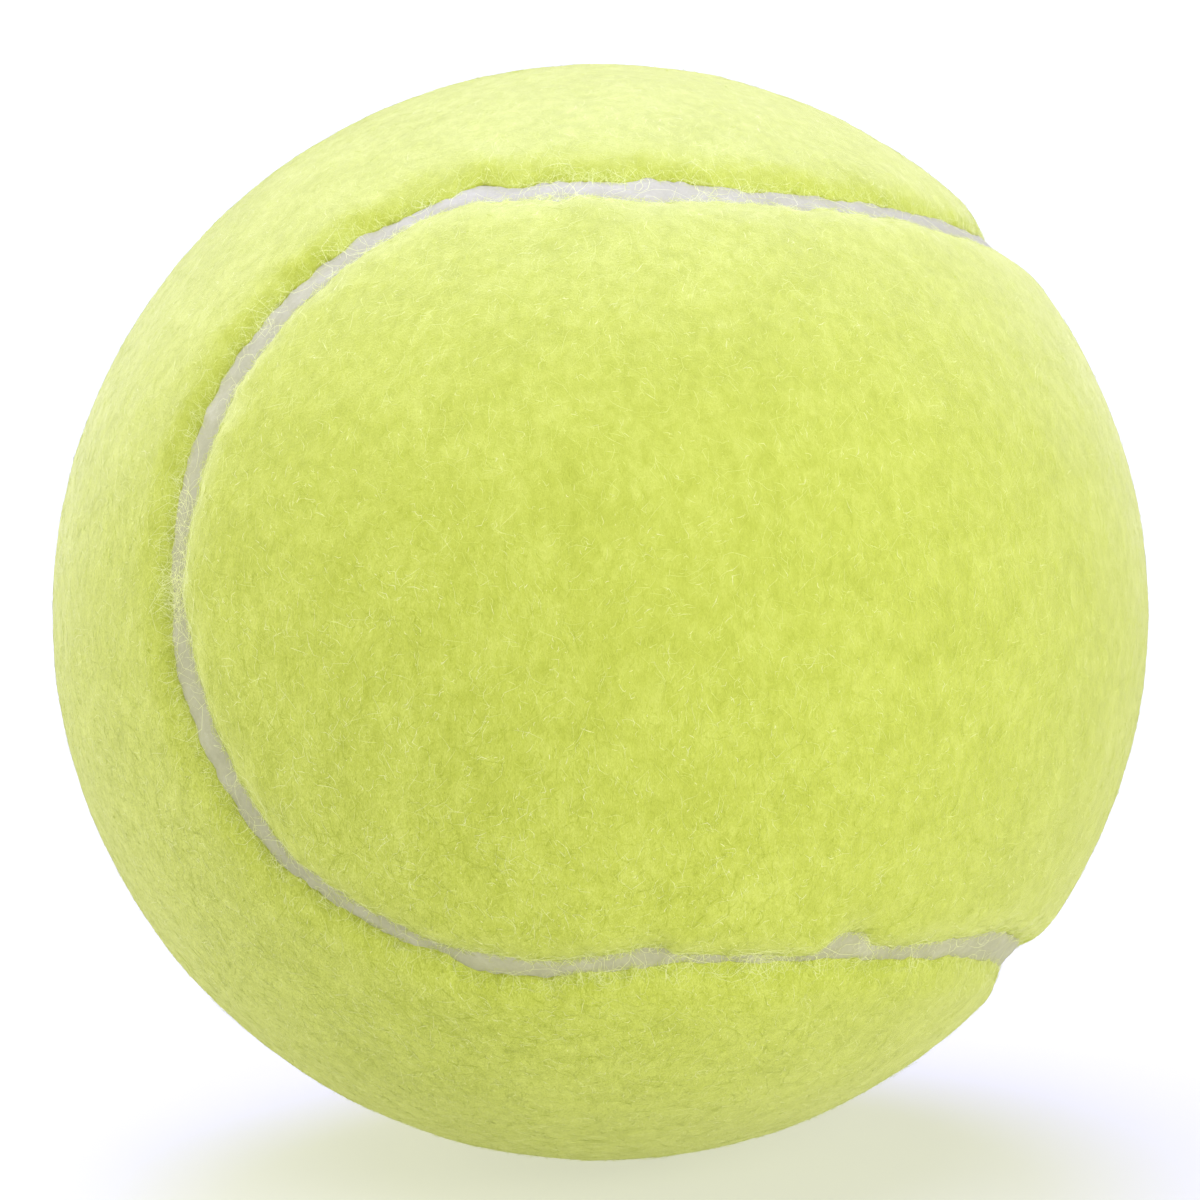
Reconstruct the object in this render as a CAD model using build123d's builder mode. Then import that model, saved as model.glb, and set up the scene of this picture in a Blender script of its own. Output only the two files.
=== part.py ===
"""Tennis ball: a hollow rubber core of two bonded halves, covered by two dog-bone panels of napped felt."""

import os
from math import atan2, cos, radians, sin, sqrt

from build123d import *

os.makedirs("parts", exist_ok=True)

# Driving dimensions, in millimetres and degrees

# Rubber core
core_diameter = 60.0
core_wall = 3.5
core_joint_gap = 0.2  # thickness of the cement between the two rims
core_joint_bead = 0.7  # radius of the cement squeezed out inside the joint

# Felt cover, from the core outwards
cement_film = 0.15
base_cloth = 0.8
nap_height = 2.4
nap_edge_round = 0.8  # how the nap rolls over into the seam

# Seam between the two panels
seam_width = 2.2
seam_sink = 0.8  # depth of the strip's crown below the nap
seam_crown = 0.1  # rise of the strip from its edges to its middle
half_waist_angle = 41.3  # from the middle of a panel's waist to the seam, seen from the ball's centre
lie_angle = 17.0  # how far the front lobe is turned up from the horizontal, about the X axis

# Allowance for cuts
cut_overrun = 0.5

# Radii that follow from them
core_radius = core_diameter / 2
hollow_radius = core_radius - core_wall
cement_radius = core_radius + cement_film
cloth_radius = cement_radius + base_cloth
ball_radius = cloth_radius + nap_height
strip_crown_radius = ball_radius - seam_sink
strip_edge_radius = strip_crown_radius - seam_crown

# Directions of the panels. Panel A has its waist at +X and lobes in front and behind,
# panel B its waist at -X and lobes above and below.
centre = Vector(0, 0, 0)
waist_a = Vector(1, 0, 0)
waist_b = -waist_a
front_lobe = Vector(0, -cos(radians(lie_angle)), sin(radians(lie_angle)))
top_lobe = front_lobe.cross(waist_a)


def seam_arc(lobe, far_waist):
    """Section plane, axis and sweep of the circular arc that the seam follows round one lobe.

    Four such arcs, each a little over half a circle, meet where the seam changes its hand.
    In the section plane X is the height above the ball's centre and Y runs across the seam.
    """
    waist = radians(half_waist_angle)
    lean = atan2(sqrt(0.5) - sin(waist), cos(waist))
    turn = lobe * cos(lean) + far_waist * sin(lean)
    start = (lobe - lobe.cross(far_waist)).normalized()
    lobe_end = lobe * sin(waist) + far_waist * cos(waist)
    start_arm = start - turn * turn.dot(start)
    end_arm = lobe_end - turn * turn.dot(lobe_end)
    section = Plane(origin=centre, x_dir=start, z_dir=turn.cross(start))
    return section, Axis(centre, turn), 2 * start_arm.get_angle(end_arm)


seam_arcs = [
    seam_arc(front_lobe, waist_b),
    seam_arc(-front_lobe, waist_b),
    seam_arc(top_lobe, waist_a),
    seam_arc(-top_lobe, waist_a),
]

# Core: two moulded half shells with flat rims
with BuildPart() as core_half_lower:
    Sphere(core_radius)
    Sphere(hollow_radius, mode=Mode.SUBTRACT)
    split(bisect_by=Plane.XY.offset(-core_joint_gap / 2), keep=Keep.BOTTOM)

with BuildPart() as core_half_upper:
    Sphere(core_radius)
    Sphere(hollow_radius, mode=Mode.SUBTRACT)
    split(bisect_by=Plane.XY.offset(core_joint_gap / 2), keep=Keep.TOP)

# Cement ring that bonds the rims, with the bead that it leaves inside
with BuildPart() as core_joint_cement:
    Sphere(core_radius)
    Sphere(hollow_radius, mode=Mode.SUBTRACT)
    split(bisect_by=Plane.XY.offset(core_joint_gap / 2), keep=Keep.BOTTOM)
    split(bisect_by=Plane.XY.offset(-core_joint_gap / 2), keep=Keep.TOP)
    with BuildSketch(Plane.XZ):
        with Locations((hollow_radius, 0)):
            Circle(core_joint_bead)
        Circle(hollow_radius, mode=Mode.INTERSECT)
    revolve(axis=Axis.Z)

# Seam strip: a rubber ridge on the core, between the edges of the panels
strip_half_width = seam_width / 2
foot_height = sqrt(core_radius**2 - strip_half_width**2)

with BuildPart() as seam_strip:
    for section, axis, sweep in seam_arcs:
        with BuildSketch(section):
            with BuildLine():
                foot = ThreePointArc((foot_height, -strip_half_width), (core_radius, 0), (foot_height, strip_half_width))
                crown = ThreePointArc(
                    (strip_edge_radius, -strip_half_width),
                    (strip_crown_radius, 0),
                    (strip_edge_radius, strip_half_width),
                )
                Line(foot @ 0, crown @ 0)
                Line(foot @ 1, crown @ 1)
            make_face()
        revolve(axis=axis, revolution_arc=sweep)

# Space that the seam takes out of the cover
slot_middle = (core_radius + ball_radius) / 2
slot_depth = ball_radius - core_radius + 2 * cut_overrun


def cover_shell(inner_radius, outer_radius):
    """One layer of the cover, cut in two along the seam."""
    with BuildPart() as shell:
        Sphere(outer_radius)
        Sphere(inner_radius, mode=Mode.SUBTRACT)
        for section, axis, sweep in seam_arcs:
            with BuildSketch(section):
                with Locations((slot_middle, 0)):
                    Rectangle(slot_depth, seam_width)
            revolve(axis=axis, revolution_arc=sweep, mode=Mode.SUBTRACT)
    return shell


cement_shell = cover_shell(core_radius, cement_radius)
cloth_shell = cover_shell(cement_radius, cloth_radius)
nap_shell = cover_shell(cloth_radius, ball_radius)

pieces = {
    "core_half_lower": core_half_lower,
    "core_half_upper": core_half_upper,
    "core_joint_cement": core_joint_cement,
    "seam_strip": seam_strip,
}

# Felt panels: cement film, woven base cloth and napped surface, one of each on both sides of the seam
for panel, waist in (("felt_a", waist_a), ("felt_b", waist_b)):
    with BuildPart() as cement:
        add(cement_shell.solids().sort_by_distance(waist * cement_radius)[0])
    pieces[f"{panel}_cement"] = cement

    with BuildPart() as cloth:
        add(cloth_shell.solids().sort_by_distance(waist * cloth_radius)[0])
    pieces[f"{panel}_base_cloth"] = cloth

    with BuildPart() as nap:
        add(nap_shell.solids().sort_by_distance(waist * ball_radius)[0])
        outside = nap.faces().sort_by(SortBy.AREA)[-1]
        fillet(outside.edges().filter_by(GeomType.CIRCLE), nap_edge_round)
    pieces[f"{panel}_nap"] = nap

for name, piece in pieces.items():
    piece.part.label = name
    export_step(piece.part, f"parts/{name}.step")
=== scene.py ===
import math

import bmesh
import bpy
import numpy as np
from mathutils import Matrix, Vector


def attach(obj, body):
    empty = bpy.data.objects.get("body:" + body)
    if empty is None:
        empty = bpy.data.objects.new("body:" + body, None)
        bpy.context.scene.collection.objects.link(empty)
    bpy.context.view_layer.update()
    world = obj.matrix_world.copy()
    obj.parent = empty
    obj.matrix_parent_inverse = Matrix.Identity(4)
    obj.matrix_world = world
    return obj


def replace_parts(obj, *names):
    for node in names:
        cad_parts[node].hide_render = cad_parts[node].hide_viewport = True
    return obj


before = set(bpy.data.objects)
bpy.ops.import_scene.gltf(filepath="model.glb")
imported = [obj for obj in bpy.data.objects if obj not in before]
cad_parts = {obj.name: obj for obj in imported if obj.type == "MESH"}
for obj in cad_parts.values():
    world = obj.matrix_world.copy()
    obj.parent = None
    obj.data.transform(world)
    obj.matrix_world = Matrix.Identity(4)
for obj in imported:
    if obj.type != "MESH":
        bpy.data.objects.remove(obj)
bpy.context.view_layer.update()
mm = 0.001
mapName = "OFBake"  # UV map of the felt and its fibres
seedStep = 10  # between random draws of one kind

# The ball, in millimetres and degrees, as the CAD has it
ball = {
    "radius": 33.35,
    "lieAngle": 17.0,  # front lobe turned up from level
    "halfWaist": 41.3,  # from a panel's waist to the seam
    "stripCrown": 32.55,
    "stripHalfWidth": 1.1,
    "napFoot": 30.95,
    "clothFoot": 30.15,
    "coreRadius": 30.0,
}

lieTurn = math.radians(ball["lieAngle"])
waistTurn = math.radians(ball["halfWaist"])
waistA = np.array([1.0, 0.0, 0.0])
frontLobe = np.array([0.0, -math.cos(lieTurn), math.sin(lieTurn)])
topLobe = np.cross(frontLobe, waistA)

# The seam: four circular arcs, round the front, back, top and bottom lobes
arcLean = math.atan2(math.sqrt(0.5) - math.sin(waistTurn), math.cos(waistTurn))
arcAngle = math.acos(math.cos(arcLean) * math.sqrt(0.5))  # angular radius of an arc
arcLobes = ((frontLobe, -waistA), (-frontLobe, -waistA), (topLobe, waistA), (-topLobe, waistA))
arcAxes, arcArms, arcSides = [], [], []
for lobe, farWaist in arcLobes:
    axis = lobe * math.cos(arcLean) + farWaist * math.sin(arcLean)
    end = lobe * math.sin(waistTurn) + farWaist * math.cos(waistTurn)
    arm = end - axis * (axis @ end)
    arm /= np.linalg.norm(arm)
    arcAxes.append(axis)
    arcArms.append(arm)
    arcSides.append(np.cross(axis, arm))
arcAxes, arcArms, arcSides = np.array(arcAxes), np.array(arcArms), np.array(arcSides)


def unit(vectors):
    return vectors / np.linalg.norm(vectors, axis=-1, keepdims=True)


def seamPlace(heading):  # arc, turn round it from its middle, and distance from the seam, plus in panel A
    left = heading[:, 0] < 0
    cosines = heading @ arcAxes.T
    arc = np.where(left, np.argmax(cosines[:, :2], axis=1), 2 + np.argmax(cosines[:, 2:], axis=1))
    nearest = np.clip(np.take_along_axis(cosines, arc[:, None], 1)[:, 0], -1, 1)
    away = (np.arccos(nearest) - arcAngle) * ball["radius"]
    turn = np.arctan2((heading * arcSides[arc]).sum(1), (heading * arcArms[arc]).sum(1))
    return arc, turn, np.where(left, -away, away)


def turnOn(arc, heading):  # turn round one given arc
    return np.arctan2(heading @ arcSides[arc], heading @ arcArms[arc])


def seamPoint(arc, turn, lateral, radius):
    away = np.where(arc < 2, -lateral, lateral)
    angle = (arcAngle + away / ball["radius"])[:, None]
    spoke = np.cos(turn)[:, None] * arcArms[arc] + np.sin(turn)[:, None] * arcSides[arc]
    heading = np.cos(angle) * arcAxes[arc] + np.sin(angle) * spoke
    return heading * np.broadcast_to(radius, turn.shape)[:, None]


def ripple(points, wavelength, seed, waves=36, spread=(0.65, 1.5)):  # smooth random field of unit spread
    draw = np.random.default_rng(seed)
    heading = unit(draw.normal(size=(waves, 3)))
    pitch = 2 * math.pi / wavelength * draw.uniform(*spread, waves)
    phase = draw.uniform(0, 2 * math.pi, waves)
    field = points.astype(np.float32) @ (heading * pitch[:, None]).T.astype(np.float32)
    return np.cos(field + phase.astype(np.float32)).sum(1).astype(float) * math.sqrt(2 / waves)


# How the felt's lip runs along the seam
feltEdge = {
    "width": 1.8,  # gap between the lips
    "waves": ((7.0, 0.05), (2.6, 0.05), (1.1, 0.05)),  # wavelength and height
    "seed": 100,
    "calmWidth": 1.0,  # a narrower seam wanders less
    "lipRadius": 32.42,
    "shoulder": 3.2,  # width over which the nap rolls down
    "leastShoulder": 1.0,
    "shoulderWander": 0.4,
    "wanderWave": 5.0,
    "wanderSeed": 31,
    "roll": 2.6,
    "tuck": 0.12,  # how far the lip turns back at once
    "tuckDrop": 0.07,
    "rim": 0.2,  # and where it goes down beside the strip
    "rimDrop": 0.09,
    "rimMiddle": 31.8,
    "stripGap": 0.02,  # between felt and strip
    "clothGap": 0.01,  # between nap and base cloth
}
# Where the seam wanders, widens or closes: degrees round the arc, shift towards panel A, width
seamCourse = {
    0: (
        (-97, -0.3, 1.5), (-89.5, -0.1, 1.6), (-86, -0.1, 1.3), (-83, -0.25, 1.0), (-81.5, -0.55, 1.6),
        (-79.5, -0.85, 2.0), (-77, -0.8, 1.3), (-75, -0.55, 0.7), (-71, -0.6, 0.85), (-67, -0.45, 0.9),
        (-63, -0.5, 1.5), (-54, -0.25, 1.7), (-34, 0.0, 1.7), (-16, 0.15, 1.7), (-10, 0.3, 1.5),
        (-3, 0.2, 1.1), (0, 0.25, 0.5), (3, 0.25, 0.6), (7, 0.2, 1.4), (14, 0.05, 1.7), (27, 0.0, 1.6),
        (36, -0.25, 1.3), (44, -0.4, 1.15), (54, -0.2, 0.95), (60, -0.05, 0.7), (72, -0.15, 0.6),
        (76, -0.4, 1.2), (83, -0.35, 1.2), (91, -0.05, 1.0), (97, 0.0, 0.9),
    ),
    2: (
        (-97, -0.3, 1.5), (-92, -0.4, 1.45), (-87, -0.2, 1.4), (-83.5, -0.5, 2.1), (-78, -0.6, 1.7),
        (-72, -0.45, 1.2), (-66.5, -0.4, 0.95), (-63, -0.4, 1.1), (-59.5, -0.4, 1.5), (-56, -0.65, 1.0),
        (-48, -0.55, 1.0), (-41, -0.5, 1.15), (-34, -0.2, 1.25), (-29, -0.1, 1.3), (-23, -0.1, 0.9),
        (-19, 0.05, 1.1), (-8, 0.0, 1.6),
    ),
    3: (
        (-20, 0.0, 1.8), (8, 0.0, 1.8), (15, 0.1, 2.0), (22, 0.05, 2.0), (31, -0.25, 1.2), (38, -0.55, 0.9),
        (46, -0.55, 0.85), (50, -0.4, 0.9), (52, 0.0, 1.6), (54.5, 0.15, 1.8), (57, 0.0, 1.5),
        (59.5, -0.6, 0.35), (62, -0.75, 0.2), (72, -0.5, 0.2), (82, -0.05, 0.3), (83.5, 0.2, 1.1),
        (87, 0.15, 1.1), (89, 0.0, 0.95), (97, 0.0, 0.9),
    ),
}


def edgeAt(arc, turn, sign):  # distance of one panel's lip from the middle of the seam
    shift = np.zeros(len(turn))
    width = np.full(len(turn), feltEdge["width"])
    for number, course in seamCourse.items():
        degrees, shifts, widths = np.array(course).T
        here = arc == number
        shift[here] = np.interp(np.degrees(turn[here]), degrees, shifts)
        width[here] = np.interp(np.degrees(turn[here]), degrees, widths)
    middle = seamPoint(arc, turn, np.zeros(len(turn)), ball["radius"])
    wander = np.zeros(len(turn))
    for number, (wavelength, height) in enumerate(feltEdge["waves"]):
        wander += height * ripple(middle, wavelength, feltEdge["seed"] + seedStep * number + sign)
    return width / 2 + sign * shift + wander * np.minimum(width, feltEdge["calmWidth"])


# Clumps in the nap: wavelength, height and seed
clumps = ((7.0, 0.014, 21), (2.6, 0.01, 22), (1.2, 0.006, 23))


def clumpHeight(points):
    return sum(height * ripple(points, wavelength, seed) for wavelength, height, seed in clumps)


def napRadius(heading, arc, turn, lateral):  # outside of the nap, rolled down towards the seam
    points = heading * ball["radius"]
    top = ball["radius"] + clumpHeight(points)
    wander = ripple(points, feltEdge["wanderWave"], feltEdge["wanderSeed"])
    width = np.maximum(feltEdge["shoulder"] + feltEdge["shoulderWander"] * wander, feltEdge["leastShoulder"])
    rise = np.zeros(len(turn))
    for sign in (1, -1):
        share = np.clip((sign * lateral - edgeAt(arc, turn, sign)) / width, 0, 1)
        rise = np.maximum(rise, 1 - (1 - share) ** feltEdge["roll"])
    return feltEdge["lipRadius"] + (top - feltEdge["lipRadius"]) * rise


def vertexPlaces(bm):
    return np.array([v.co for v in bm.verts], float)


def moveVertices(verts, places):
    for vert, place in zip(verts, places):
        vert.co = place


def openEdges(bm):
    return [edge for edge in bm.edges if edge.is_boundary]


def facesAtEdges(mesh):  # how many faces meet at each edge
    edges = np.zeros(len(mesh.loops), np.int64)
    mesh.loops.foreach_get("edge_index", edges)
    return np.bincount(edges, minlength=len(mesh.edges))


def smoothMesh(name, bm):
    for face in bm.faces:
        face.smooth = True
    mesh = bpy.data.meshes.new(name)
    bm.to_mesh(mesh)
    bm.free()
    unclosed = int((facesAtEdges(mesh) != 2).sum())
    print(name, len(mesh.polygons), "faces, open or shared edges", unclosed)
    return mesh


def addToScene(name, data):
    thing = bpy.data.objects.new(name, data)
    bpy.context.scene.collection.objects.link(thing)
    return thing


# How a panel is cut out of a sphere
cutting = {
    "overlap": 0.03,  # share of the radius by which a half's cuts pass the ball's middle
    "planeReach": 1e-5,  # of the radius
    "weld": 0.25,  # millimetres
    "sliver": 1e-4,  # of the radius
    "blend": 5.0,  # millimetres from the lip in which the mesh follows its wander
    "rimWeld": 2e-6,  # metres
}


def patchOutline(sign, nominal, fineness):  # one panel's share of a sphere, cut along the seam
    bm = bmesh.new()
    bmesh.ops.create_icosphere(bm, subdivisions=fineness, radius=1)
    for arc in range(4):
        half = -1 if arc < 2 else 1  # the front and back arcs lie in the left half
        angle = arcAngle + half * sign * nominal / ball["radius"]
        faces = [face for face in bm.faces if face.calc_center_median().x * half > -cutting["overlap"]]
        near = set(faces)
        for face in faces:
            near.update(face.edges)
            near.update(face.verts)
        bmesh.ops.bisect_plane(
            bm,
            geom=list(near),
            dist=cutting["planeReach"],
            plane_co=Vector(arcAxes[arc] * math.cos(angle)),
            plane_no=Vector(arcAxes[arc]),
        )
    bm.faces.ensure_lookup_table()
    middles = unit(np.array([face.calc_center_median() for face in bm.faces]))
    outside = seamPlace(middles)[2] * sign < nominal
    bmesh.ops.delete(bm, geom=[bm.faces[i] for i in np.flatnonzero(outside)], context="FACES")
    bmesh.ops.remove_doubles(bm, verts=bm.verts, dist=cutting["weld"] / ball["radius"])
    bmesh.ops.dissolve_degenerate(bm, edges=bm.edges, dist=cutting["sliver"])
    bmesh.ops.triangulate(bm, faces=bm.faces)
    return bm


def panelPlaces(bm, sign, nominal):  # arc, turn and distance from the seam of a patch's vertices
    arc, turn, lateral = seamPlace(unit(vertexPlaces(bm)))
    rim = np.array([v.is_boundary for v in bm.verts])
    return arc, turn, np.where(rim, nominal, lateral * sign)


def nearLip(distance):  # 1 at the lip, fading to 0
    return np.clip(1 - distance / cutting["blend"], 0, 1) ** 2


def feltLayer(name, sign, shape):  # a closed panel: outer face, rolled rim and plain inner face
    nominal = shape["nominal"]
    outer = patchOutline(sign, nominal, shape["fineness"])
    inner = outer.copy()
    bmesh.ops.subdivide_edges(outer, edges=outer.edges, cuts=shape["cuts"], use_grid_fill=True)
    bmesh.ops.subdivide_edges(inner, edges=openEdges(inner), cuts=shape["cuts"])
    bmesh.ops.triangulate(inner, faces=inner.faces)
    bmesh.ops.reverse_faces(inner, faces=inner.faces)

    arc, turn, distance = panelPlaces(outer, sign, nominal)
    shift = shape["lip"](arc, turn, sign) - nominal
    distance = distance + shift * nearLip(distance - nominal)
    heading = seamPoint(arc, turn, sign * distance, 1.0)
    radius = shape["outside"](heading, arc, turn, sign * distance)
    moveVertices(outer.verts, heading * radius[:, None] * mm)

    for lateralOf, radiusOf in shape["rows"]:  # the rim goes down to the foot row by row
        made = bmesh.ops.extrude_edge_only(outer, edges=openEdges(outer))["geom"]
        verts = [item for item in made if isinstance(item, bmesh.types.BMVert)]
        arc, turn = seamPlace(unit(np.array([v.co for v in verts])))[:2]
        row = lateralOf(shape["lip"](arc, turn, sign))
        moveVertices(verts, seamPoint(arc, turn, sign * row, radiusOf) * mm)

    arc, turn, distance = panelPlaces(inner, sign, nominal)
    foot = shape["rows"][-1][0](shape["lip"](arc, turn, sign))
    distance = distance + (foot - nominal) * nearLip(distance - nominal)
    moveVertices(inner.verts, seamPoint(arc, turn, sign * distance, shape["foot"]) * mm)

    innerMesh = bpy.data.meshes.new(name + "_inside")
    inner.to_mesh(innerMesh)
    inner.free()
    outer.from_mesh(innerMesh)
    bpy.data.meshes.remove(innerMesh)
    bmesh.ops.remove_doubles(outer, verts=outer.verts, dist=cutting["rimWeld"])
    bmesh.ops.triangulate(outer, faces=[face for face in outer.faces if len(face.verts) > 4])
    bmesh.ops.recalc_face_normals(outer, faces=outer.faces)
    mesh = smoothMesh(name, outer)
    panelMap(mesh, sign, shape)
    return addToScene(name, mesh)


# A panel's flat map: its outside and rim below, its inside above
flatMap = {
    "fullWidth": 290,  # degrees of the ball that the map's width takes
    "outsideMiddle": 0.27,
    "insideMiddle": 0.73,
    "rimDepth": 0.005,  # below the lip, where the rim starts
    "footMargin": 0.01,
}


def panelMap(mesh, sign, shape):
    places = np.zeros(len(mesh.vertices) * 3)
    mesh.vertices.foreach_get("co", places)
    places = places.reshape(-1, 3) / mm
    radius = np.linalg.norm(places, axis=1)
    heading = unit(places)
    arc, turn, lateral = seamPlace(heading)
    lip = shape["lip"](arc, turn, sign)
    below = np.maximum(shape["lipRadius"] - radius, 0)
    reach = lip - below - np.abs(lateral * sign - lip)
    onRim = (below > flatMap["rimDepth"])[:, None]
    rolled = np.where(onRim, seamPoint(arc, turn, sign * reach, 1.0), heading)
    pole, facing = (topLobe, waistA) if sign > 0 else (frontLobe, -waistA)
    across = np.cross(pole, facing)
    full = math.radians(flatMap["fullWidth"])

    def flat(vectors, middle):
        along = np.arctan2(vectors @ across, vectors @ facing) / full + 0.5
        return np.stack([along, np.arcsin(np.clip(vectors @ pole, -1, 1)) / full + middle], axis=1)

    outside, inside = flat(rolled, flatMap["outsideMiddle"]), flat(heading, flatMap["insideMiddle"])
    corners = np.zeros(len(mesh.loops), np.int64)
    mesh.loops.foreach_get("vertex_index", corners)
    starts = np.zeros(len(mesh.polygons), np.int64)
    counts = np.zeros(len(mesh.polygons), np.int64)
    mesh.polygons.foreach_get("loop_start", starts)
    mesh.polygons.foreach_get("loop_total", counts)
    low = np.maximum.reduceat(radius[corners], starts) < shape["foot"] + flatMap["footMargin"]
    uv = np.where(np.repeat(low, counts)[:, None], inside[corners], outside[corners])
    mesh.uv_layers.new(name=mapName).data.foreach_set("uv", uv.astype(np.float32).ravel())


# Panels of felt: woven base cloth below, nap above
stripWall = ball["stripHalfWidth"] + feltEdge["stripGap"]


def rimAt(lip):
    return np.maximum(lip + feltEdge["rim"], stripWall)


napShape = {
    "nominal": 0.9,  # from the middle of the seam to the plain cut
    "fineness": 6,
    "cuts": 2,
    "lip": edgeAt,
    "lipRadius": feltEdge["lipRadius"],
    "outside": napRadius,
    "rows": (
        (lambda lip: lip + feltEdge["tuck"], feltEdge["lipRadius"] - feltEdge["tuckDrop"]),
        (rimAt, feltEdge["lipRadius"] - feltEdge["rimDrop"]),
        (rimAt, feltEdge["rimMiddle"]),
        (rimAt, ball["napFoot"]),
    ),
    "foot": ball["napFoot"],
}
clothShape = {
    "nominal": stripWall,
    "fineness": 5,
    "cuts": 2,
    "lip": lambda arc, turn, sign: np.full(len(turn), stripWall),
    "lipRadius": ball["napFoot"],
    "outside": lambda heading, arc, turn, lateral: np.full(len(turn), ball["napFoot"] - feltEdge["clothGap"]),
    "rows": ((lambda lip: lip, ball["clothFoot"]),),
    "foot": ball["clothFoot"],
}

# Seam strip: a rubber ridge spun round the four arcs
stripShape = {
    "across": (-1.0, -0.8, -0.55, -0.28, 0.0, 0.28, 0.55, 0.8, 1.0),  # shares of its half width
    "crown": 0.1,
    "steps": 230,
    "weld": 5e-6,  # metres
    "waves": ((3.5, 0.03), (1.2, 0.02), (0.6, 0.012)),
    "seed": 60,
    "plainFoot": 0.5,  # height above the core that stays smooth
    "under": 0.3,  # how far it runs on under the felt where the seam is wide
}


def stripOutline():  # distance across the seam and radius
    edge = ball["stripHalfWidth"]
    outline = []
    for lateral in stripShape["across"]:
        sag = stripShape["crown"] * lateral ** 2
        outline.append((lateral * edge, ball["stripCrown"] - sag))
    outline += [(edge, ball["coreRadius"]), (-edge, ball["coreRadius"])]
    return np.array(outline).T


def seamStrip(name):
    bm = bmesh.new()
    across, heights = stripOutline()
    for arc in range(4):
        # the seam changes its hand half-way between two axes
        joints = [unit(arcAxes[arc] + arcAxes[other]) for other in ((2, 3) if arc < 2 else (0, 1))]
        first, last = sorted(turnOn(arc, np.array(joints)))
        places = seamPoint(np.full(len(across), arc), np.full(len(across), first), across, heights)
        verts = [bm.verts.new(place * mm) for place in places]
        edges = [bm.edges.new((verts[i], verts[(i + 1) % len(verts)])) for i in range(len(verts))]
        bmesh.ops.spin(
            bm,
            geom=verts + edges,
            cent=(0, 0, 0),
            axis=Vector(arcAxes[arc]),
            angle=last - first,
            steps=stripShape["steps"],
        )
    bmesh.ops.remove_doubles(bm, verts=bm.verts, dist=stripShape["weld"])
    bmesh.ops.recalc_face_normals(bm, faces=bm.faces)
    places = vertexPlaces(bm) / mm
    radius = np.linalg.norm(places, axis=1)
    arc, turn, lateral = seamPlace(unit(places))
    edge = np.where(lateral > 0, edgeAt(arc, turn, 1), edgeAt(arc, turn, -1))
    width = np.maximum(ball["stripHalfWidth"], edge + stripShape["under"])
    wide = lateral * width / ball["stripHalfWidth"]
    rough = np.zeros(len(radius))
    for number, (wavelength, height) in enumerate(stripShape["waves"]):
        rough += height * ripple(places, wavelength, stripShape["seed"] + number)
    radius = radius + np.where(radius > ball["coreRadius"] + stripShape["plainFoot"], rough, 0)
    moveVertices(bm.verts, seamPoint(arc, turn, wide, radius) * mm)
    return addToScene(name, smoothMesh(name, bm))


# How the nap lies and how any fibre sits in it
napLie = {
    "waves": ((16.0, 0.5, 41), (4.0, 0.3, 42)),  # wavelength, turn in radians, seed
    "lipGap": 0.05,  # from the lip to the nearest root
    "spareRoots": 3,  # roots drawn for each one that is used
    "arcReach": 100,  # degrees round an arc that have roots at the seam
    "sway": 0.12,
    "swayWaves": 3,
    "bowMiddle": 0.35,
    "bowShare": 0.5,
    "curlPace": (2, 5),
    "sink": 0.03,  # how deep the ends sit in the nap
    "stripGap": 0.03,
    "freeBend": 1.5,  # how a free end curves up
    "toneBend": 1.2,  # more dull fibres than bright ones
    "cellMargin": 0.1,  # of a fibre's cell in the map
    "nudge": 1e-6,  # keeps the lie defined at the very top and bottom
}
# Flat three-sided spindles: short fibres, curled ones, a fringe at the seam and strays across it
fibreShape = {
    "count": 10000,
    "pieces": 4,  # for each panel
    "rings": 2,
    "length": (0.35, 1.2),
    "radius": (0.017, 0.031),
    "flatness": 0.1,  # thickness against width
    "roll": 0.15,  # how far a fibre is turned about its length
    "bend": 0.6,
    "curl": 0.0,
    "lift": (0.01, 0.055),
    "freeShare": 0.25,  # fibres with one end that stands up
    "freeLift": (0.03, 0.17),
    "spread": 0.6,
    "band": None,  # distance of a root from the lip, where only the seam has such fibres
    "tufts": (),  # arc, degrees, spread and count where more of them gather
    "brightness": (0.0, 1.0),
    "seed": 500,
}
curlShape = {
    **fibreShape,
    "count": 8000,
    "pieces": 3,
    "rings": 4,
    "length": (0.9, 2.4),
    "radius": (0.012, 0.02),
    "curl": 0.05,
    "lift": (0.02, 0.08),
    "freeShare": 0.15,
    "freeLift": (0.06, 0.24),
    "brightness": (0.0, 0.8),
    "seed": 600,
}
fringeShape = {
    **fibreShape,
    "count": 4500,
    "pieces": 1,
    "rings": 3,
    "length": (0.5, 1.5),
    "radius": (0.012, 0.022),
    "lift": (0.02, 0.14),
    "freeShare": 0.4,
    "freeLift": (0.0, 0.2),
    "spread": 1.3,
    "band": (0.02, 0.7),
    "brightness": (0.2, 1.0),
    "seed": 700,
}
strayShape = {
    **fringeShape,
    "count": 170,
    "rings": 8,
    "length": (1.2, 3.2),
    "radius": (0.012, 0.018),
    "curl": 0.35,
    "lift": (0.05, 0.3),
    "band": (-0.5, 0.4),
    "tufts": ((0, -8, 6, 20), (0, 1, 2.5, 20), (3, 71, 8, 15)),
    "brightness": (0.85, 1.1),
    "seed": 800,
}


def fibreTemplate(rings):
    flatSideUp = Matrix.Rotation(math.pi, 3, "Z")
    bm = bmesh.new()
    bmesh.ops.create_uvsphere(bm, u_segments=3, v_segments=rings, radius=1)
    bmesh.ops.rotate(bm, verts=bm.verts, cent=(0, 0, 0), matrix=flatSideUp)
    bmesh.ops.recalc_face_normals(bm, faces=bm.faces)
    bm.verts.index_update()
    places = vertexPlaces(bm)
    faces = [[v.index for v in face.verts] for face in bm.faces]
    bm.free()
    return places, faces


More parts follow.
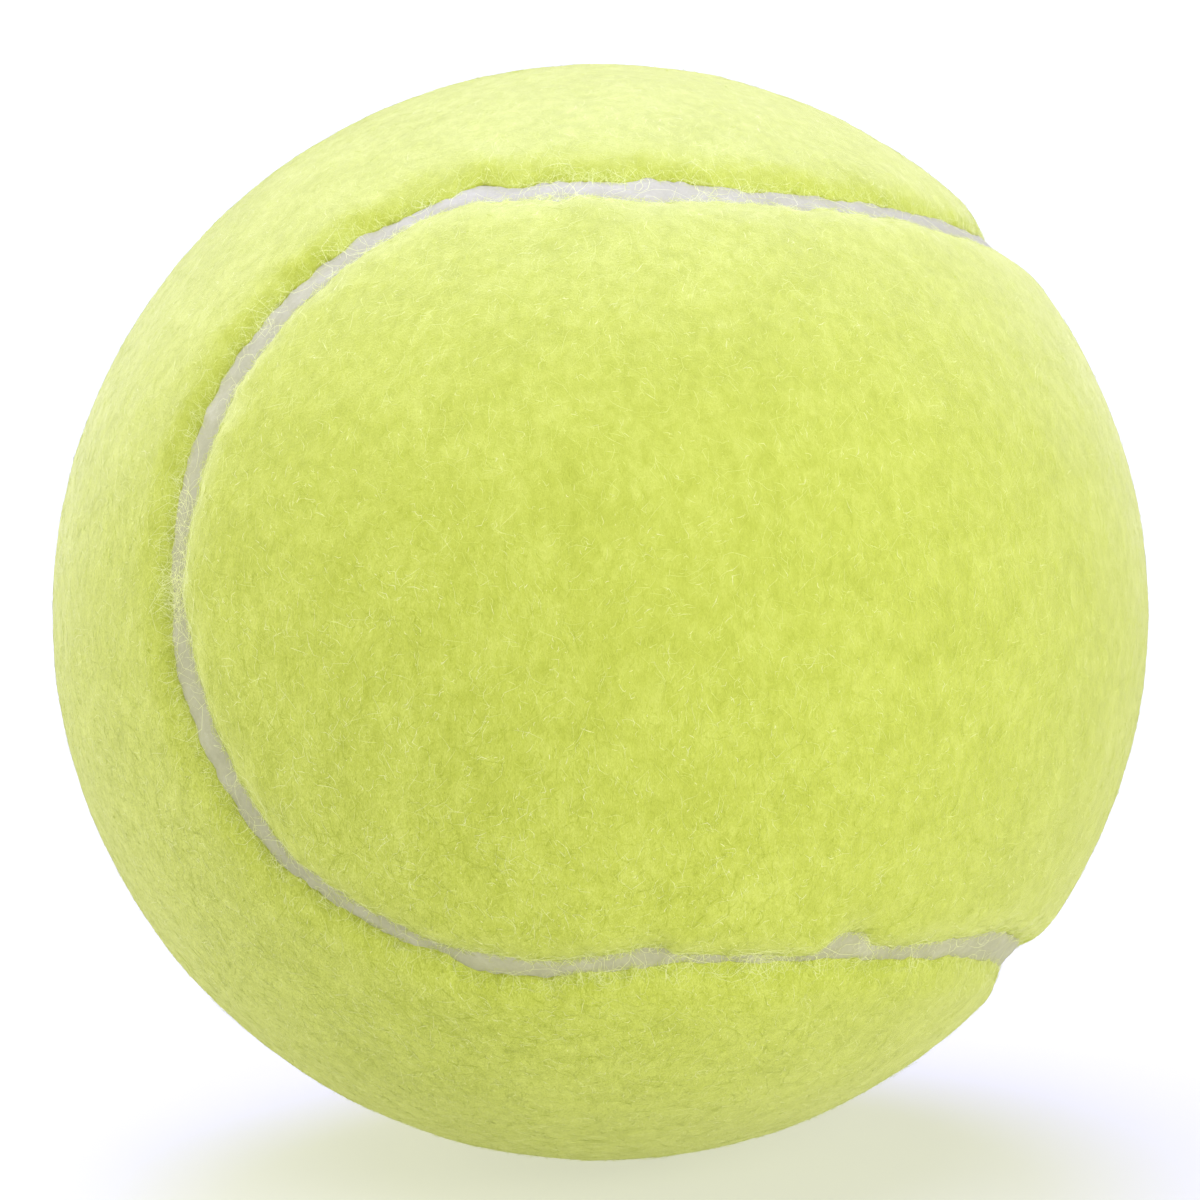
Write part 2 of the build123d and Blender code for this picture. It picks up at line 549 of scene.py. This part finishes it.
def fibreRoots(draw, sign, shape):
    count = shape["count"]
    if shape["band"]:
        arc = draw.integers(0, 4, count)
        turn = draw.uniform(-1, 1, count) * math.radians(napLie["arcReach"])
        for tuftArc, degrees, spread, extra in shape["tufts"]:
            arc = np.append(arc, np.full(extra, tuftArc))
            turn = np.append(turn, np.radians(draw.normal(degrees, spread, extra)))
        lip = edgeAt(arc, turn, sign)
        return seamPoint(arc, turn, sign * (lip + draw.uniform(*shape["band"], len(turn))), 1.0)
    heading = unit(draw.normal(size=(count * napLie["spareRoots"], 3)))
    arc, turn, lateral = seamPlace(heading)
    onPanel = lateral * sign > edgeAt(arc, turn, sign) + napLie["lipGap"]
    return heading[onPanel][:count]


def fibrePlaces(draw, heading, shape, template):  # every fibre's vertices, in millimetres
    count = len(heading)
    # direction in which the nap lies, wandering over the ball
    up = unit(np.array([0.0, 0.0, 1.0]) - heading * heading[:, 2:3] + napLie["nudge"])
    side = np.cross(heading, up)
    points = heading * ball["radius"]
    angle = sum(height * ripple(points, wavelength, seed) for wavelength, height, seed in napLie["waves"])
    angle = angle + draw.normal(0, shape["spread"], count)
    along = np.cos(angle)[:, None] * up + np.sin(angle)[:, None] * side
    across = np.cross(heading, along)
    length = draw.uniform(*shape["length"], count)
    bend = draw.normal(0, shape["bend"], count) * length
    sway = draw.normal(0, napLie["sway"], count) * length
    lift = draw.uniform(*shape["lift"], count)
    free = draw.random(count) < shape["freeShare"]
    freeLift = np.where(free, draw.uniform(*shape["freeLift"], count), 0)
    radius = draw.uniform(*shape["radius"], count)
    roll = draw.normal(0, shape["roll"], count)[:, None, None]
    curl = shape["curl"] * length
    phase = draw.uniform(0, 2 * math.pi, count)
    pace = draw.uniform(*napLie["curlPace"], count)

    share = np.arccos(np.clip(template[:, 2], -1, 1)) / math.pi  # of the length
    share = np.round(share, decimals=5)
    stations = np.unique(share)
    path = []
    for station in stations:
        run = 2 * station - 1  # from -1 at the held end to 1
        bow = bend * (run * run - napLie["bowMiddle"]) * napLie["bowShare"]
        sideways = bow + sway * math.sin(napLie["swayWaves"] * run) + curl * np.sin(phase + pace * run)
        forward = run * length / 2 + curl * np.cos(phase + pace * run)
        spot = unit(heading + (along * forward[:, None] + across * sideways[:, None]) / ball["radius"])
        ground = np.maximum(napRadius(spot, *seamPlace(spot)), ball["stripCrown"] + napLie["stripGap"])
        height = -napLie["sink"] + lift * (1 - run * run) + freeLift * station ** napLie["freeBend"]
        path.append(spot * (ground + height)[:, None])
    path = np.stack(path, axis=1)  # fibre, station, xyz
    ahead = unit(np.gradient(path, axis=1))
    outward = unit(path)
    outward = unit(outward - ahead * (outward * ahead).sum(2, keepdims=True))
    flank = np.cross(ahead, outward)
    thickWay = np.cos(roll) * outward + np.sin(roll) * flank
    wideWay = np.cos(roll) * flank - np.sin(roll) * outward
    index = np.searchsorted(stations, share)
    section = shape["flatness"] * template[None, :, :1] * thickWay[:, index]
    section = section + template[None, :, 1:2] * wideWay[:, index]
    return path[:, index] + radius[:, None, None] * section


def fibrePiece(name, sign, shape, seed):
    draw = np.random.default_rng(seed)
    template, faces = fibreTemplate(shape["rings"])
    places = fibrePlaces(draw, fibreRoots(draw, sign, shape), shape, template)
    count, placeCount = places.shape[:2]
    flat = np.concatenate([np.array(face) for face in faces])
    corners = (flat[None, :] + (np.arange(count) * placeCount)[:, None]).ravel()
    totals = np.tile([len(face) for face in faces], count)
    starts = np.concatenate([[0], np.cumsum(totals)[:-1]])
    mesh = bpy.data.meshes.new(name)
    mesh.vertices.add(count * placeCount)
    mesh.vertices.foreach_set("co", (places * mm).astype(np.float32).ravel())
    mesh.loops.add(len(corners))
    mesh.loops.foreach_set("vertex_index", corners.astype(np.int32))
    mesh.polygons.add(len(totals))
    mesh.polygons.foreach_set("loop_start", starts.astype(np.int32))
    mesh.polygons.foreach_set("use_smooth", np.zeros(len(totals), bool))
    mesh.update(calc_edges=True)
    # each fibre has a cell of its own in the map
    cells = math.ceil(math.sqrt(count))
    cell = np.stack([np.arange(count) % cells, np.arange(count) // cells], axis=1)
    around = np.arctan2(template[:, 1], template[:, 0]) / (2 * math.pi) + 0.5
    margin = napLie["cellMargin"]
    inCell = margin + (1 - 2 * margin) * np.stack([around, (1 - template[:, 2]) / 2], axis=1)
    uv = ((cell[:, None, :] + inCell[None]) / cells).reshape(-1, 2)[corners]
    mesh.uv_layers.new(name=mapName).data.foreach_set("uv", uv.astype(np.float32).ravel())
    dim, bright = shape["brightness"]
    tone = np.repeat(dim + (bright - dim) * draw.random(count) ** napLie["toneBend"], placeCount)
    mesh.attributes.new("fibreTone", "FLOAT", "POINT").data.foreach_set("value", tone.astype(np.float32))
    mesh.validate()
    return addToScene(name, mesh)


# Materials
class Wire:  # one output socket of a material, so that shader sums read like arithmetic
    def __init__(self, finish, socket):
        self.finish, self.socket = finish, socket

    def sum(self, operation, first, second):
        return self.finish.node("Math", {"operation": operation}, {0: first, 1: second})

    def __add__(self, other):
        return self.sum("ADD", self, other)

    __radd__ = __add__

    def __mul__(self, other):
        return self.sum("MULTIPLY", self, other)

    __rmul__ = __mul__

    def __sub__(self, other):
        return self.sum("SUBTRACT", self, other)

    def __rsub__(self, other):
        return self.sum("SUBTRACT", other, self)

    def __pow__(self, other):
        return self.sum("POWER", self, other)

    def __rpow__(self, other):
        return self.sum("POWER", other, self)


# Painted shade: the tone contrast of the felt and its fibres grows towards the lower left, where light falls
# at a grazing angle
paintedShadeLook = {
    "towards": (-18.0, 0.0, -24.0),
    "range": (-0.5, 0.8),
    "bend": 1.6,
    "gain": 1.7,
    "least": 0.7,
}


class Finish:  # one material and its nodes
    def __init__(self, name, **constants):
        self.material = bpy.data.materials.new(name)
        self.material.use_nodes = True
        self.tree = self.material.node_tree
        self.shader = self.tree.nodes["Principled BSDF"]
        for socket, value in constants.items():
            self.set(socket.replace("_", " "), value)

    def feed(self, socket, value):
        if isinstance(value, Wire):
            self.tree.links.new(value.socket, socket)
        elif isinstance(value, tuple) and len(value) == 3 and socket.type == "RGBA":
            socket.default_value = (*value, 1)
        else:
            socket.default_value = value

    def set(self, socket, value):
        self.feed(self.shader.inputs[socket], value)

    def node(self, kind, settings=None, sockets=None, out=0):
        made = self.tree.nodes.new("ShaderNode" + kind)
        for name, value in (settings or {}).items():
            if name == "stops":
                ramp = made.color_ramp.elements
                while len(ramp) < len(value):
                    ramp.new(1)
                for stop, (place, colour) in zip(ramp, value):
                    stop.position = place
                    stop.color = (*colour, 1)
            else:
                setattr(made, name, value)
        for key, value in (sockets or {}).items():
            self.feed(made.inputs[key], value)
        return Wire(self, made.outputs[out])

    def place(self):
        return self.node("TexCoord", out=3)

    def noise(self, size, detail=2.0, rough=0.5, distortion=0.0, tall=1.0):  # size of a patch in mm
        place = self.place()
        if tall != 1:  # patches drawn out along the height
            place = self.node("VectorMath", {"operation": "MULTIPLY"}, {0: place, 1: (1.0, 1.0, 1 / tall)})
        sockets = {"Vector": place, "Scale": 1 / (size * mm), "Detail": detail}
        sockets.update({"Roughness": rough, "Distortion": distortion})
        return self.node("TexNoise", None, sockets)

    # painted shade: a factor on the tone contrast that grows towards the lower left
    def paintedShadeContrast(self):
        sockets = {0: self.place(), 1: paintedShadeLook["towards"]}
        lean = self.node("VectorMath", {"operation": "DOT_PRODUCT"}, sockets, out=1)
        low, high = paintedShadeLook["range"]
        share = self.node("MapRange", None, {"Value": lean, "From Min": low, "From Max": high})
        return share ** paintedShadeLook["bend"] * paintedShadeLook["gain"] + paintedShadeLook["least"]

    def mix(self, share, first, second):
        return self.node("Mix", {"data_type": "RGBA"}, {0: share, 6: first, 7: second}, out=2)

    def ramp(self, value, *stops):
        return self.node("ValToRGB", {"stops": stops}, {0: value})

    def bump(self, height, strength, distance):
        return self.node("Bump", None, {"Height": height, "Strength": strength, "Distance": distance * mm})


feltSheen = {"Sheen_Weight": 0.65, "Sheen_Roughness": 0.5, "Sheen_Tint": (1.0, 1.0, 0.52)}
feltLook = {
    "blotch": {"size": 4.5},
    "clump": {"size": 0.8, "detail": 4.0, "rough": 0.6, "distortion": 0.3, "tall": 1.8},
    "thread": {"size": 0.15, "detail": 3.0, "rough": 0.6, "distortion": 2.0, "tall": 2.2},
    "toneShares": (0.2, 0.4, 0.5),  # of blotch, clump and thread
    "toneBase": 0.25,
    "stops": (
        (0.25, (0.34, 0.41, 0.012)),
        (0.40, (0.45, 0.52, 0.03)),
        (0.55, (0.55, 0.62, 0.06)),
        (0.70, (0.655, 0.725, 0.115)),
        (0.85, (0.75, 0.81, 0.20)),
    ),
    "bumpShares": (0.8, 0.2),  # of thread and clump
    "bump": {"strength": 0.7, "distance": 0.09},
}


def feltFinish():
    finish = Finish("nap_felt", Roughness=0.7, Specular_IOR_Level=0.5, **feltSheen)
    blotch, clump, thread = (finish.noise(**feltLook[layer]) for layer in ("blotch", "clump", "thread"))
    blotchShare, clumpShare, threadShare = feltLook["toneShares"]
    patches = blotch * blotchShare + clump * clumpShare
    # the thread's contrast is scaled by painted shade that grows towards the lower left
    tone = patches + (thread - 0.5) * threadShare * finish.paintedShadeContrast() + feltLook["toneBase"]
    finish.set("Base Color", finish.ramp(tone, *feltLook["stops"]))
    threadRise, clumpRise = feltLook["bumpShares"]
    finish.set("Normal", finish.bump(thread * threadRise + clump * clumpRise, **feltLook["bump"]))
    return finish.material


fibreLook = {
    "thread": {"size": 0.2, "detail": 3.0, "rough": 0.65, "distortion": 1.5, "tall": 1.6},
    "patch": {"size": 0.8, "detail": 4.0, "rough": 0.6, "distortion": 0.3, "tall": 1.8},
    "threadShare": 0.6,
    "patchShare": 0.42,
    "ownMiddle": 0.45,  # of each fibre's own tone
    "toneBase": 0.32,
    "stops": (
        (0.0, (0.42, 0.49, 0.02)),
        (0.40, (0.595, 0.665, 0.082)),
        (0.62, (0.685, 0.755, 0.152)),
        (0.80, (0.765, 0.825, 0.245)),
        (0.96, (0.86, 0.90, 0.40)),
    ),
    "bump": {"strength": 0.6, "distance": 0.08},
}


def fibreFinish():
    finish = Finish("nap_fibre", Roughness=0.6, Specular_IOR_Level=0.3, **feltSheen)
    own = finish.node("Attribute", {"attribute_name": "fibreTone"}, out=2)
    thread, patch = (finish.noise(**fibreLook[layer]) for layer in ("thread", "patch"))
    mottle = own - fibreLook["ownMiddle"] + (thread - 0.5) * fibreLook["threadShare"]
    # the fibres' mottle is scaled by painted shade that grows towards the lower left
    tone = patch * fibreLook["patchShare"] + mottle * finish.paintedShadeContrast() + fibreLook["toneBase"]
    finish.set("Base Color", finish.ramp(tone, *fibreLook["stops"]))
    finish.set("Normal", finish.bump(thread, **fibreLook["bump"]))
    return finish.material


stripLook = {
    "blotch": {"size": 2.2, "detail": 3.0},
    "grain": {"size": 0.25, "detail": 3.0, "rough": 0.6},
    "pores": {"size": 0.2, "detail": 4.0, "rough": 0.6},
    "toneShares": (0.6, 0.4),  # of blotch and grain
    "stops": ((0.35, (0.44, 0.435, 0.25)), (0.55, (0.51, 0.505, 0.295)), (0.7, (0.57, 0.565, 0.36))),
    "bump": {"strength": 0.35, "distance": 0.05},
}


def stripFinish():
    finish = Finish("seam_rubber", Roughness=0.7, Specular_IOR_Level=0.3)
    blotch, grain, pores = (finish.noise(**stripLook[layer]) for layer in ("blotch", "grain", "pores"))
    blotchShare, grainShare = stripLook["toneShares"]
    tone = blotch * blotchShare + grain * grainShare
    finish.set("Base Color", finish.ramp(tone, *stripLook["stops"]))
    finish.set("Normal", finish.bump(pores, **stripLook["bump"]))
    return finish.material


clothLook = {
    "weave": {"Scale": 55.0, "Distortion": 1.5, "Detail": 2.0, "Detail Scale": 3.0},
    "dark": (0.42, 0.46, 0.16),
    "light": (0.70, 0.74, 0.38),
    "bump": {"strength": 0.5, "distance": 0.15},
}


def clothFinish():
    finish = Finish("base_cloth", Roughness=0.9, Sheen_Weight=0.2)
    yarns = {"Vector": finish.place(), **clothLook["weave"]}
    warp = finish.node("TexWave", {"bands_direction": "X"}, yarns, out=1)
    weft = finish.node("TexWave", {"bands_direction": "Z"}, yarns, out=1)
    weave = warp * 0.5 + weft * 0.5
    finish.set("Base Color", finish.mix(weave, clothLook["dark"], clothLook["light"]))
    finish.set("Normal", finish.bump(weave, **clothLook["bump"]))
    return finish.material


# Rubber and cement inside the ball, on the CAD's own pieces
rubberLooks = {
    "core_rubber": {"dark": (0.02, 0.02, 0.022), "light": (0.05, 0.05, 0.055), "size": 1.5, "rough": 0.6},
    "joint_cement": {"dark": (0.35, 0.24, 0.1), "light": (0.55, 0.42, 0.22), "size": 1.0, "rough": 0.4},
    "cover_cement": {"dark": (0.45, 0.38, 0.2), "light": (0.65, 0.56, 0.35), "size": 1.2, "rough": 0.35},
}
rubberGrain = {"roughGain": 0.15, "poreShare": 0.2, "strength": 0.3, "distance": 0.05}
rubberNodes = {
    "core_half_lower": "core_rubber",
    "core_half_upper": "core_rubber",
    "core_joint_cement": "joint_cement",
    "felt_a_cement": "cover_cement",
    "felt_b_cement": "cover_cement",
}


def plainRubber(name, dark, light, size, rough):
    finish = Finish(name)
    grain = finish.noise(size, detail=4.0, rough=0.6)
    finish.set("Base Color", finish.mix(grain, dark, light))
    finish.set("Roughness", rough + grain * rubberGrain["roughGain"])
    pores = finish.noise(size * rubberGrain["poreShare"], detail=3.0)
    finish.set("Normal", finish.bump(pores, rubberGrain["strength"], rubberGrain["distance"]))
    return finish.material


feltMaterial, fibreMaterial, stripMaterial = feltFinish(), fibreFinish(), stripFinish()
clothMaterial = clothFinish()
rubbers = {name: plainRubber(name, **look) for name, look in rubberLooks.items()}
for node, rubber in rubberNodes.items():
    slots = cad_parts[node].data.materials
    slots.clear()
    slots.append(rubbers[rubber])
print("materials made")

strip = seamStrip("seam_strip_rubber")
strip.data.materials.append(stripMaterial)
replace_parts(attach(strip, "root"), "seam_strip")

fibreKinds = {"fibres": fibreShape, "curls": curlShape, "fringe": fringeShape, "strays": strayShape}
for letter, sign in (("a", 1), ("b", -1)):
    cloth = feltLayer(f"felt_{letter}_cloth", sign, clothShape)
    cloth.data.materials.append(clothMaterial)
    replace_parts(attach(cloth, "root"), f"felt_{letter}_base_cloth")
    nap = feltLayer(f"felt_{letter}_panel", sign, napShape)
    nap.data.materials.append(feltMaterial)
    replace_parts(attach(nap, "root"), f"felt_{letter}_nap")
    for kind, shape in fibreKinds.items():
        for number in range(shape["pieces"]):
            seed = shape["seed"] + seedStep * number + sign
            fibre = fibrePiece(f"felt_{letter}_{kind}_{number + 1}", sign, shape, seed)
            fibre.data.materials.append(fibreMaterial)
            fibre.visible_shadow = False  # so thin that light passes through it
            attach(fibre, "root")
    print("panel", letter, "has its fibres")

# Floor, light and camera
studio = {
    "floorSize": 8.0,
    "floorTones": ((0.33, 0.33, 0.30), (0.35, 0.35, 0.32)),
    "floorPatch": 400.0,  # millimetres
    "glowReach": 0.5,  # ramp for each metre from the ball
    "glow": ((0.25, (0.53, 0.53, 0.466)), (0.8, (1.0, 1.0, 0.97))),
    "sky": {"From Min": 0.08, "From Max": 0.25, "To Min": 1.0, "To Max": 0.3},  # white low down, greyer above
    "lights": (  # name, place, size, watts, colour
        ("overhead", (-0.15, 0.1, 1.1), 1.8, 16.4, (0.96, 0.96, 1.36)),
        ("topBack", (-0.05, 0.75, 1.1), 0.8, 9.6, (0.66, 0.6, 2.75)),
        ("rightFill", (0.95, -0.9, 0.45), 0.9, 9.1, (1.0, 1.0, 1.0)),
        ("leftFill", (-1.2, 0.35, 0.5), 0.9, 5.7, (1.0, 1.0, 0.65)),
    ),
}
bm = bmesh.new()
bmesh.ops.create_circle(bm, cap_ends=True, segments=96, radius=studio["floorSize"])
bmesh.ops.translate(bm, verts=bm.verts, vec=(0, 0, -ball["radius"] * mm))
floorMesh = bpy.data.meshes.new("floor")
bm.to_mesh(floorMesh)
bm.free()
floor = addToScene("floor", floorMesh)
floorFinish = Finish("pale_floor", Roughness=0.9)
floorColour = floorFinish.mix(floorFinish.noise(studio["floorPatch"]), *studio["floorTones"])
floorFinish.set("Base Color", floorColour)
reach = floorFinish.node("VectorMath", {"operation": "LENGTH"}, {0: floorFinish.place()}, out=1)
glow = floorFinish.ramp(reach * studio["glowReach"], *studio["glow"])
floorFinish.set("Emission Color", glow)  # a lit white table, white as far as the horizon
floorFinish.set("Emission Strength", 1.0)
floorMesh.materials.append(floorFinish.material)

world = bpy.data.worlds.new("white_studio")
world.use_nodes = True
sky = world.node_tree.nodes
height = sky.new("ShaderNodeSeparateXYZ")
fade = sky.new("ShaderNodeMapRange")
for socket, value in studio["sky"].items():
    fade.inputs[socket].default_value = value
world.node_tree.links.new(sky.new("ShaderNodeTexCoord").outputs["Generated"], height.inputs[0])
world.node_tree.links.new(height.outputs["Z"], fade.inputs["Value"])
world.node_tree.links.new(fade.outputs["Result"], sky["Background"].inputs["Strength"])
sky["Background"].inputs["Color"].default_value = (1, 1, 1, 1)
bpy.context.scene.world = world

for name, place, size, watts, colour in studio["lights"]:
    light = bpy.data.lights.new(name, "AREA")
    light.shape = "DISK"
    light.size = size
    light.energy = watts
    light.color = colour
    lamp = addToScene(name, light)
    lamp.location = place
    lamp.rotation_euler = Vector(place).to_track_quat("Z", "Y").to_euler()

view = {
    "distance": 833.75,
    "azimuth": 2.0,
    "elevation": 11.8,
    "roll": -1.85,
    "lens": 410.5,
    "shift": (-0.0003, 0.0101),
    "clip": (0.01, 50),
}
azimuth, elevation, roll = (math.radians(view[key]) for key in ("azimuth", "elevation", "roll"))
back = Vector((
    math.sin(azimuth) * math.cos(elevation),
    -math.cos(azimuth) * math.cos(elevation),
    math.sin(elevation),
))
right = Vector((math.cos(azimuth), math.sin(azimuth), 0))
upward = back.cross(right)
rolledRight = right * math.cos(roll) + upward * math.sin(roll)
rolledUp = upward * math.cos(roll) - right * math.sin(roll)
cameraData = bpy.data.cameras.new("photo_view")
cameraData.lens = view["lens"]
cameraData.shift_x, cameraData.shift_y = view["shift"]
cameraData.clip_start, cameraData.clip_end = view["clip"]
camera = addToScene("photo_view", cameraData)
turn = Matrix((rolledRight, rolledUp, back)).transposed().to_4x4()
camera.matrix_world = Matrix.Translation(back * view["distance"] * mm) @ turn
bpy.context.scene.camera = camera
bpy.context.scene.view_settings.view_transform = "Standard"
print("stage set")
